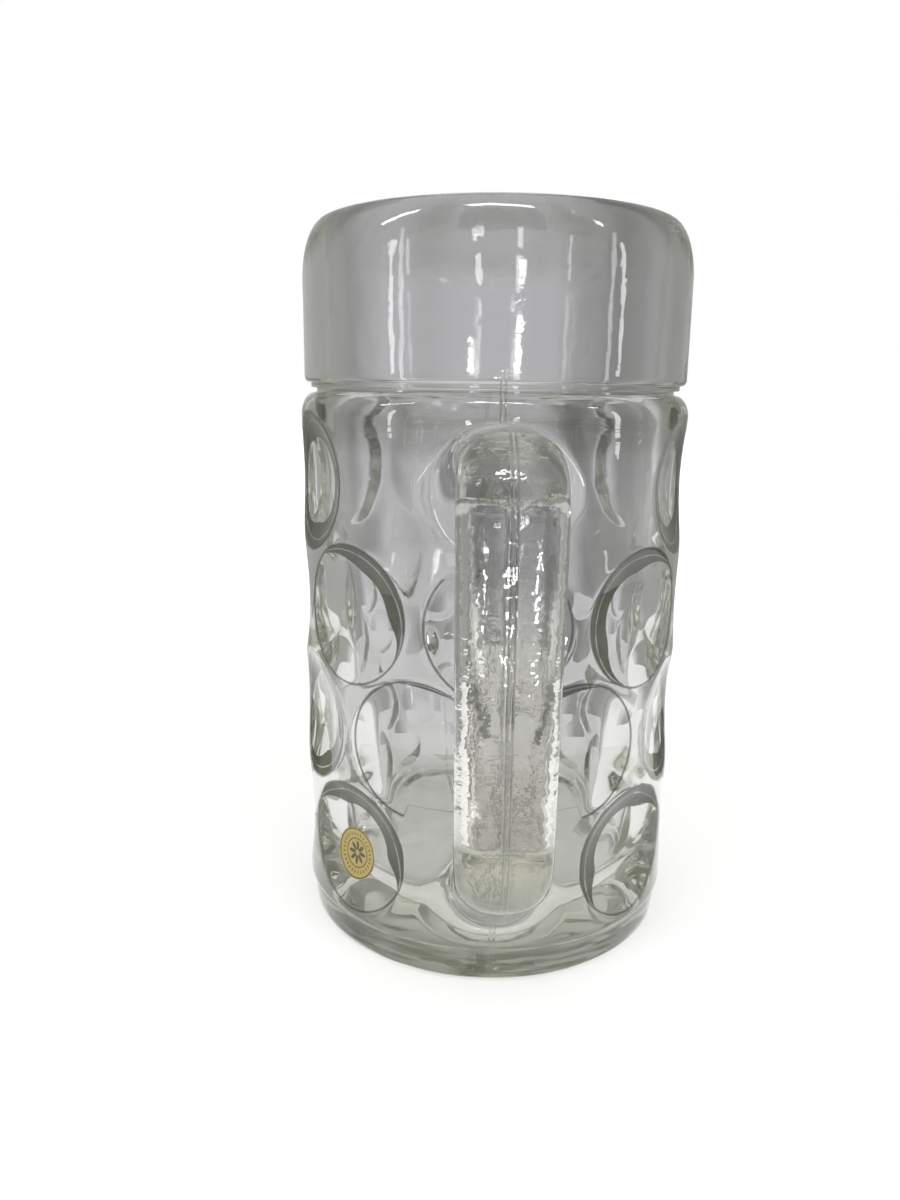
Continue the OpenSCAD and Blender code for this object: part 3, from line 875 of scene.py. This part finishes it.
def rim_shade_amount(n, finish, spot):
    """How much painted shade a dimple's rim gets, from 0 to 1. The dimple's steep bank is painted
    dark where it leans from the eye, as a crescent: the more the bank's own direction turns away,
    the wider the rim, up to rim_width, counted in millimetres inward from the dimple's edge. A
    fainter line runs along it at line_at of its width, and a fine line of painted shade follows
    the whole edge as a crease. Nothing of it shows from inside the glass."""
    turned_away = (0.41, 0.7)
    line_at = 0.35
    soft_inner = (0.0, 0.2)
    soft_edge = (-0.1, 0.1)
    line = (0.05, 0.3)
    crease = (0.18, 0.42)
    bank = n.add("ShaderNodeAttribute", attribute_name="bank").outputs["Vector"]
    facing = n.add("ShaderNodeLayerWeight", {"Blend": 0.5, "Normal": bank}).outputs["Facing"]
    width = n.smooth(facing, *turned_away, 0.0, finish.rim_width)
    crescent = n.smooth(width - spot.in_dimple, *soft_inner) * n.smooth(spot.in_dimple, *soft_edge)
    crescent = crescent * n.smooth(abs(spot.in_dimple - width * line_at), *line, 0.7, 1.0)
    at_crease = n.smooth(abs(spot.in_dimple), *crease, 0.9, 0.0)
    return n.greatest(crescent, at_crease) * spot.seen_outside


def glass_tint(n, finish, spot):
    """Colour of the glass surface. It starts from the wall's, a blend of two up its height, and each
    zone in turn is laid over it: painted shade on the lower arm and on the wall round the lower
    root, painted light on the middle of the straight grip, painted shade on the shoulder and the
    lip, in streaks round the foot, in crescents on the dimples' rims and on the mould seam's two
    lines."""
    wall = (40, 110)
    lower_arm = (45, 70)
    root_top = (20, 36)
    root_side = (20, 34)
    root_front = (-30, -20)
    grip_low = (48, 65)
    grip_high = (100, 125)
    grip_side = (6.5, 9.5)
    shoulder = (5, 11)
    lip = (184, 193)
    foot = (7, 19)
    foot_side = (43, 49)
    seam_line = (0.15, 0.36)
    streaks = (0.4, 0.62)
    # Painted shade on the handle, full on its lower arm and faint above it
    arm_shade = spot.on_handle * n.passing(spot.level, lower_arm, 1.0, 0.12)
    # Painted shade on the wall round the lower root, in front of the handle
    root_shade = n.passing(spot.side, root_side, 0.6, 0.0) * n.passing(spot.level, root_top, 1.0, 0.0)
    root_shade = root_shade * n.passing(spot.back, root_front, 1.0, 0.0)
    # Painted light on the middle of the straight grip
    grip_light = n.passing(spot.level, grip_low) * n.passing(spot.level, grip_high, 1.0, 0.0)
    grip_light = grip_light * n.passing(spot.side, grip_side, 1.0, 0.1) * spot.on_handle
    # Painted shade at the shoulder and the lip
    neck_shade = n.greatest(n.passing(spot.off_shoulder, shoulder, 1.0, 0.0), n.passing(spot.level, lip)) * 0.8
    # Painted shade round the foot, broken into streaks
    at_foot = n.passing(spot.level, foot, 1.0, 0.0) * n.passing(spot.radius, foot_side)
    at_foot = at_foot * n.smooth(spot.drawn, *streaks, 1.0, 0.6) * spot.seen_outside
    # Painted shade along the mould seam's two lines on the handle
    seam_shade = n.passing(spot.off_seam, seam_line, finish.seam, 0.0) * spot.on_handle
    tint = n.blend(n.passing(spot.level, wall), rgba(finish.low_tint), rgba(finish.tint))
    # Each zone's painted shade or painted light is laid over the wall's tint in turn
    for part, zone_tint in (
        (arm_shade, finish.arm_painted_shade),
        (root_shade, finish.neck_painted_shade),
        (grip_light, finish.grip_painted_light),
        (neck_shade, finish.neck_painted_shade),
        (at_foot, finish.foot_painted_shade),
        # Painted shade crescents and creases on the dimples' rims
        (rim_shade_amount(n, finish, spot), finish.rim_painted_shade),
        (seam_shade, finish.seam_painted_shade),
    ):
        tint = n.blend(part, tint, rgba(zone_tint))
    return tint


def pressed_glass(finish):
    """Clear pressed glass with a faint grey green in its depth, the ripple and the seam of the
    mould, tints that paint shade and light on zones of the mug, and smears that change the
    gloss a little. Lamps shine straight through it, so its shadow on the floor is pale."""
    shadow_tint = (0.78, 0.78, 0.75)
    material = bpy.data.materials.new("pressed_glass")
    n = Nodes(material)
    spot = GlassSpot(n, finish)
    smears = n.smooth(n.noise(spot.place, 38.0, 4.0, 0.6), 0.35, 0.75, 0.0, 0.05)
    glass = n.shade(
        "ShaderNodeBsdfPrincipled",
        Base_Color=glass_tint(n, finish, spot),
        Roughness=smears + spot.on_handle * 0.015,
        IOR=1.5,
        Transmission_Weight=1.0,
        Normal=pressed_ripple(n, finish, spot),
    )
    clear = n.shade("ShaderNodeBsdfTransparent", Color=rgba(shadow_tint))
    is_shadow = n.add("ShaderNodeLightPath").outputs["Is Shadow Ray"]
    surface = n.add("ShaderNodeMixShader", {0: is_shadow, 1: glass, 2: clear}).outputs[0]
    depth = n.shade("ShaderNodeVolumeAbsorption", Color=rgba(finish.depth_colour), Density=finish.depth)
    n.add("ShaderNodeOutputMaterial", {"Surface": surface, "Volume": depth})
    return material


def gold_foil(label):
    """Brushed gold foil with two fine dark rings, a ring of beads and a plain eight-petalled
    rosette, pressed a little into the foil. The pattern follows the piece's own UV map: the
    distance from its middle, with 1 at the edge, gives the rings. The petals reach as far as
    the cosine of four times the turn, and the beads come from that of 28 times."""
    petals, bead_count = 8, 28
    material = bpy.data.materials.new("gold_foil")
    n = Nodes(material)
    uv = n.add("ShaderNodeUVMap", uv_map="foil").outputs[0]
    x, y = (part - 0.5 for part in n.split(uv)[:2])
    radius = n.math("SQRT", x * x + y * y) * 2.0
    turn = n.math("ARCTAN2", y, x)

    def ring(at, width):
        return n.smooth(abs(radius - at), width * 0.5, width, 1.0, 0.0)

    petal_reach = abs(n.math("COSINE", turn * (petals / 2))) * 0.34 + 0.12
    heart = n.smooth(radius, 0.10, 0.13, 1.0, 0.0)
    rosette = n.math("SUBTRACT", n.smooth(petal_reach - radius, -0.02, 0.03), heart, clamp=True)
    beads = n.smooth(n.math("COSINE", turn * float(bead_count)), 0.35, 0.75) * ring(0.74, 0.075)
    speckle = n.noise(uv, 60.0, 3.0)
    worn = n.smooth(speckle, 0.36, 0.5, 0.72, 1.0)
    ink = n.greatest(ring(0.95, 0.035), ring(0.56, 0.03), rosette, beads) * worn
    bright, dull = (rgba(min(1.0, c * tone) for c in label.foil) for tone in (1.18, 0.86))
    foil = n.blend(n.noise(uv, 5.0), dull, bright)
    height = n.noise(uv, 240.0) * 0.35 - ink * 0.6
    bump = n.add("ShaderNodeBump", {"Height": height, "Strength": 0.6, "Distance": 0.08 * MM})
    shader = n.shade(
        "ShaderNodeBsdfPrincipled",
        Base_Color=n.blend(ink, foil, rgba(label.ink)),
        Metallic=0.85 - ink * 0.75,
        Roughness=n.smooth(speckle, 0.3, 0.7, 0.26, 0.42),
        Normal=bump.outputs["Normal"],
    )
    n.add("ShaderNodeOutputMaterial", {"Surface": shader})
    return material


class MUG_OT_glass(bpy.types.Operator):
    """Builds the glass body and its handle as one pressed piece"""

    bl_idname = "mug.glass"
    bl_label = "Glass body and handle"

    def execute(self, context):
        scene = context.scene
        form = BodyForm(scene.mug_body)
        points, faces, marks = glass_surface(form, HandleForm(form, scene.mug_handle))
        piece = add_piece("glass_mug", points, faces)
        for name, values in marks.items():
            add_attribute(piece, name, values)
        piece.data.materials.append(pressed_glass(scene.mug_glass))
        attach(piece, "root")
        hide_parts("glass_body", "glass_handle")
        return {"FINISHED"}


class MUG_OT_label(bpy.types.Operator):
    """Builds the round foil label on the dimple left of the handle"""

    bl_idname = "mug.label"
    bl_label = "Foil label"

    def execute(self, context):
        scene = context.scene
        points, faces, on_foil = label_surface(BodyForm(scene.mug_body), scene.mug_label)
        piece = add_piece("gold_label", points, faces)
        layer = piece.data.uv_layers.new(name="foil")
        corner = np.zeros(len(piece.data.loops), np.int32)
        piece.data.loops.foreach_get("vertex_index", corner)
        layer.data.foreach_set("uv", on_foil[corner].astype(np.float32).ravel())
        piece.data.materials.append(gold_foil(scene.mug_label))
        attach(piece, "root")
        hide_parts("foil_label")
        return {"FINISHED"}


def stand(thing, right, up, back, at):
    """Places a lamp or the camera at a point, with its own three axes as given."""
    rows = np.column_stack([right, up, back, at])
    thing.matrix_world = Matrix([*rows.tolist(), (0, 0, 0, 1)])


def add_floor(studio):
    """The pale floor. The camera sees it glow, and more so further from the mug, where it passes into
    the white surroundings. Near the mug the glow is weak enough for the shadow to show. In and
    through a gloss it glows evenly."""
    half, matt_share, shiny_glow = 3.0, 0.62, 0.62
    shadow_reach, straight_glow = (0.12, 0.7), (0.38, 0.85)
    corners = np.array([[-half, -half, 0], [half, -half, 0], [half, half, 0], [-half, half, 0]])
    floor = add_piece("floor", corners, np.array([[0, 1, 2], [0, 2, 3]]))
    material = bpy.data.materials.new("pale_floor")
    n = Nodes(material)
    away = n.add("ShaderNodeVectorMath", {0: n.place()}, operation="LENGTH").outputs["Value"]
    straight, shiny = n.rays()
    strength = shiny * shiny_glow + straight * n.smooth(away, *shadow_reach, *straight_glow)
    matt = n.shade("ShaderNodeBsdfDiffuse", Color=rgba(c * matt_share for c in studio.floor_colour))
    glow = n.shade("ShaderNodeEmission", Color=rgba(studio.floor_colour), Strength=strength)
    both = n.add("ShaderNodeAddShader", {0: matt, 1: glow}).outputs[0]
    n.add("ShaderNodeOutputMaterial", {"Surface": both})
    floor.data.materials.append(material)


def add_surroundings(scene, sky):
    """White wherever the camera sees it, straight or in the glass, and a soft light for the rest."""
    scene.world = bpy.data.worlds.new("white_surroundings")
    n = Nodes(scene.world)
    white = n.shade("ShaderNodeBackground", Color=(1, 1, 1, 1), Strength=1.0)
    soft = n.shade("ShaderNodeBackground", Color=(1, 1, 1, 1), Strength=sky)
    mix = n.add("ShaderNodeMixShader", {0: n.greatest(*n.rays()), 1: soft, 2: white})
    n.add("ShaderNodeOutputWorld", {"Surface": mix.outputs[0]})


def add_card(name, start, stop, away, low, high, tone):
    """A standing card bent round the mug at a distance, from one bearing to another in degrees, with
    0 behind the mug. Its sides fade into the white. The glass shows it, but neither the camera
    nor the floor does."""
    posts, fade = 9, 0.25
    start, stop = np.radians(start), np.radians(stop)
    turns = np.linspace(start, stop, posts)
    x, y = away * np.sin(turns), away * np.cos(turns)
    points = np.concatenate([np.column_stack([x, y, np.full(posts, z)]) for z in (low, high)])
    card = add_piece(name, points, grid_triangles(2, posts, closed=False).reshape(-1, 3))
    material = bpy.data.materials.new(name)
    n = Nodes(material)
    turned = {"Vector": n.place(), "Angle": (start + stop) / 2}
    faced = n.add("ShaderNodeVectorRotate", turned, rotation_type="Z_AXIS").outputs[0]
    off_middle = abs(n.math("ARCTAN2", *n.split(faced)[:2]))
    half = (stop - start) / 2
    colours = n.blend(n.smooth(off_middle, half - fade, half), rgba(tone), (1, 1, 1, 1))
    glow = n.shade("ShaderNodeEmission", Color=colours, Strength=1.0)
    n.add("ShaderNodeOutputMaterial", {"Surface": glow})
    card.data.materials.append(material)
    card.visible_camera = card.visible_diffuse = card.visible_shadow = False


def add_lamp(name, at, wide, high, power):
    """A soft rectangular lamp at a point, turned towards the mug's middle."""
    aim = (0, 0, 100 * MM)
    data = bpy.data.lights.new(name, "AREA")
    data.shape, data.size, data.size_y, data.energy = "RECTANGLE", wide, high, power
    lamp = bpy.data.objects.new(name, data)
    bpy.context.scene.collection.objects.link(lamp)
    back = unit(np.subtract(at, aim))
    right = unit(np.cross([0, 0, 1], back))
    stand(lamp, right, np.cross(back, right), back, at)


def add_camera(scene, studio):
    """The camera in front of the handle. It looks along the depth axis, turned by yaw, tipped down by
    pitch and rolled about its own axis."""
    data = bpy.data.cameras.new("camera")
    data.sensor_width, data.lens = 36, studio.lens
    data.clip_start, data.clip_end = 0.01, 20
    camera = bpy.data.objects.new("camera", data)
    scene.collection.objects.link(camera)
    turn, yaw, pitch, roll = studio.camera_turn, studio.camera_yaw, studio.camera_pitch, studio.camera_roll
    ahead = np.array([np.sin(yaw) * np.cos(pitch), np.cos(yaw) * np.cos(pitch), -np.sin(pitch)])
    level = np.array([np.cos(yaw), -np.sin(yaw), 0])
    right = np.cos(roll) * level + np.sin(roll) * np.cross(level, ahead)
    away = studio.camera_distance
    at = (away * np.sin(turn), -away * np.cos(turn), studio.camera_height)
    stand(camera, right, np.cross(right, ahead), -ahead, at)
    scene.camera = camera


class MUG_OT_studio(bpy.types.Operator):
    """Sets the pale floor, the soft lamps, the white surroundings and the camera"""

    bl_idname = "mug.studio"
    bl_label = "Studio"

    def execute(self, context):
        scene, studio = context.scene, context.scene.mug_studio
        scene.view_settings.view_transform = "Standard"
        add_floor(studio)
        add_surroundings(scene, studio.sky)
        # Bearings in degrees, distance, heights and tone
        for card in (
            ("back_right_card", 10, 85, 0.25, 0.0, 0.6, studio.right_card),
            ("back_left_card", -85, -15, 0.25, 0.0, 0.6, studio.left_card),
            ("front_right_card", 125, 155, 0.25, 0.0, 0.6, studio.front_card),
            ("front_left_card", 205, 235, 0.25, 0.0, 0.6, studio.front_card),
            ("front_high_card", 145, 215, 0.6, 0.5, 1.05, studio.high_card),
        ):
            add_card(*card)
        # Place, width, height and power in watts
        for name, at, wide, high, power in (
            ("left_lamp", (-0.87, -0.48, 0.3), 0.05, 0.45, 0.6),
            ("right_lamp", (0.93, -0.34, 0.3), 0.05, 0.45, 0.6),
            ("front_lamp", (0.18, -0.95, 0.3), 0.06, 0.07, 0.2),
            ("front_lamp_low", (0.18, -0.95, 0.18), 0.05, 0.1, 0.3),
            ("front_lamp_left", (-0.27, -0.95, 0.17), 0.05, 0.07, 0.2),
            ("grip_lamp", (0.0, -0.45, 0.035), 0.025, 0.025, 0.35),
            ("grip_lamp_left", (-0.225, -0.37, 0.035), 0.03, 0.03, 0.5),
            ("grip_lamp_right", (0.225, -0.37, 0.035), 0.03, 0.03, 0.5),
            ("top_lamp", (-0.05, -0.45, 1.05), 2.6, 0.07, 13.0),
        ):
            add_lamp(name, at, wide, high, power * studio.lamp_power)
        add_camera(scene, studio)
        # Light has to pass many faces of glass, and comes out black where it is cut short
        paths = scene.cycles
        paths.max_bounces = paths.transmission_bounces = 32
        paths.glossy_bounces = 24
        return {"FINISHED"}


class MUG_PT_panel(bpy.types.Panel):
    """Lists the mug's pieces and the studio"""

    bl_idname = "MUG_PT_panel"
    bl_label = "Dimpled glass mug"
    bl_space_type = "VIEW_3D"
    bl_region_type = "UI"
    bl_category = "Mug"

    def draw(self, context):
        scene = context.scene
        for operator, groups in (
            (MUG_OT_glass, (scene.mug_body, scene.mug_handle, scene.mug_glass)),
            (MUG_OT_label, (scene.mug_label,)),
            (MUG_OT_studio, (scene.mug_studio,)),
        ):
            box = self.layout.box()
            box.operator(operator.bl_idname)
            for group in groups:
                for name in group.__annotations__:
                    box.prop(group, name)


GROUPS = {
    "mug_body": MugBodySizes,
    "mug_handle": MugHandleSizes,
    "mug_label": MugLabelSizes,
    "mug_glass": MugGlassFinish,
    "mug_studio": MugStudio,
}
CLASSES = (*GROUPS.values(), MUG_OT_glass, MUG_OT_label, MUG_OT_studio, MUG_PT_panel)


def register():
    for cls in CLASSES:
        bpy.utils.register_class(cls)
    for name, group in GROUPS.items():
        setattr(bpy.types.Scene, name, PointerProperty(type=group))


def unregister():
    for name in GROUPS:
        delattr(bpy.types.Scene, name)
    for cls in reversed(CLASSES):
        bpy.utils.unregister_class(cls)


def main():
    register()
    bpy.ops.mug.glass()
    bpy.ops.mug.label()
    bpy.ops.mug.studio()


if __name__ == "__main__":
    main()
